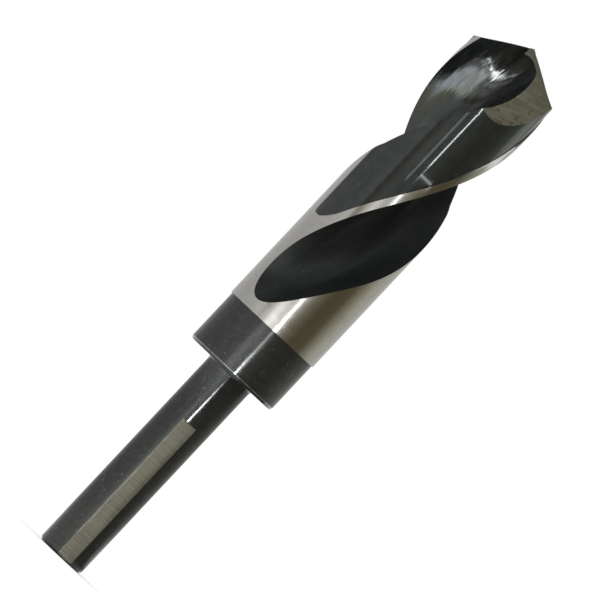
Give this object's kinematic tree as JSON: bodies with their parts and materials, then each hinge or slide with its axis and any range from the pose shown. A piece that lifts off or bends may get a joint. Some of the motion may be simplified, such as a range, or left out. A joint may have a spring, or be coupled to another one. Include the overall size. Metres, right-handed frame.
{
  "type": "silver and deming drill bit",
  "caption": "Large twist drill on a reduced straight shank with flats, for boring big holes in metal with a small chuck.",
  "frame": {"origin": "centre of the shank's end face, on the drill's axis", "axes": "+Z along the axis from the shank end to the chisel edge; -Y points at the side seen in the picture, with one shank flat turned 11 degrees from it towards +X"},
  "size_m": [0.0254, 0.0254, 0.1588],
  "materials": {
    "tool_steel": "black oxide on the flutes, land backs, collar and shank; ground bright on the plain cylinder, the margins, the point and the shank flats"
  },
  "bodies": {
    "root": {"drill_bit": "tool_steel"}
  },
  "joints": []
}
